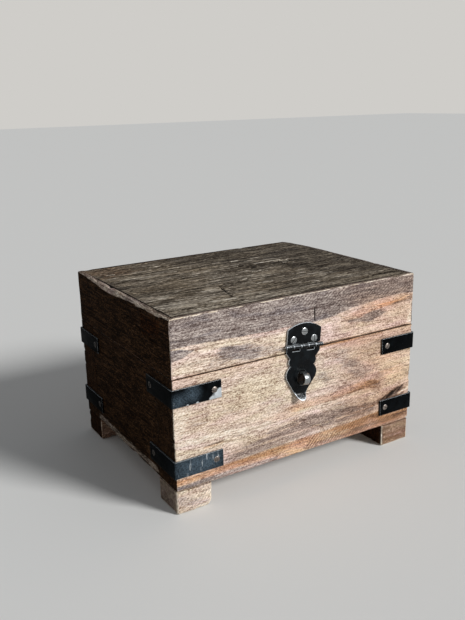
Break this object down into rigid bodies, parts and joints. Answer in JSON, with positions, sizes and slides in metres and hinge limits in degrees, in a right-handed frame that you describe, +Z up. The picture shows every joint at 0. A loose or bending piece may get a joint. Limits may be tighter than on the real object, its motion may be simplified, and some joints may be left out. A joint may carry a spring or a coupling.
{
  "type": "wooden chest",
  "caption": "Small heavy reclaimed-timber chest on block feet, with a deep hinged lid, black iron corner straps and a hasp over a padlock staple.",
  "frame": {"origin": "on the floor under the middle of the whole chest, staple and hinge barrels included", "axes": "+Z up, +X towards the right end seen from the front, -Y out of the front with the hasp"},
  "size_m": [0.325, 0.2693, 0.2113],
  "materials": {
    "case_timber": "bare, weathered and rubbed",
    "foot_timber": "bare, weathered and rubbed",
    "lid_timber": "bare, weathered, with open cracks",
    "black_iron": "blackened, rubbed at the edges",
    "bright_steel": "worn bright",
    "rusted_steel": "browned with rust"
  },
  "bodies": {
    "case": {"front_board": "case_timber", "back_board": "case_timber", "left_end_board": "case_timber", "right_end_board": "case_timber", "bottom_board": "case_timber", "front_left_foot": "foot_timber", "front_right_foot": "foot_timber", "rear_left_foot": "foot_timber", "rear_right_foot": "foot_timber", "foot_screws": "rusted_steel", "strap_front_left_upper": "black_iron", "strap_front_left_lower": "black_iron", "strap_front_right_upper": "black_iron", "strap_front_right_lower": "black_iron", "strap_rear_right_upper": "black_iron", "strap_rear_right_lower": "black_iron", "strap_rear_left_upper": "black_iron", "strap_rear_left_lower": "black_iron", "strap_screws": "rusted_steel", "hasp_staple": "bright_steel", "hinge_case_leaf_left": "black_iron", "hinge_case_leaf_right": "black_iron", "hinge_pin_left": "rusted_steel", "hinge_pin_right": "rusted_steel", "hinge_case_screws": "rusted_steel"},
    "lid": {"lid_front_rail": "lid_timber", "lid_right_rail": "lid_timber", "lid_back_rail": "lid_timber", "lid_left_rail": "lid_timber", "lid_top_board": "lid_timber", "hasp_plate": "black_iron", "hasp_plate_screws": "bright_steel", "hasp_pin": "bright_steel", "hinge_lid_leaf_left": "black_iron", "hinge_lid_leaf_right": "black_iron", "hinge_lid_screws": "rusted_steel"},
    "hasp": {"hasp_strap": "black_iron"}
  },
  "joints": [
    {"name": "lid_hinge", "type": "hinge", "parent": "case", "child": "lid", "pos_m": [0, 0.13165, 0.14915], "axis": [-1, 0, 0], "range_deg": [0, 170]},
    {"name": "hasp_hinge", "type": "hinge", "parent": "lid", "child": "hasp", "pos_m": [-0.0018, -0.12435, 0.1544], "axis": [-0.9959, 0, 0.0906], "range_deg": [0, 170]}
  ]
}
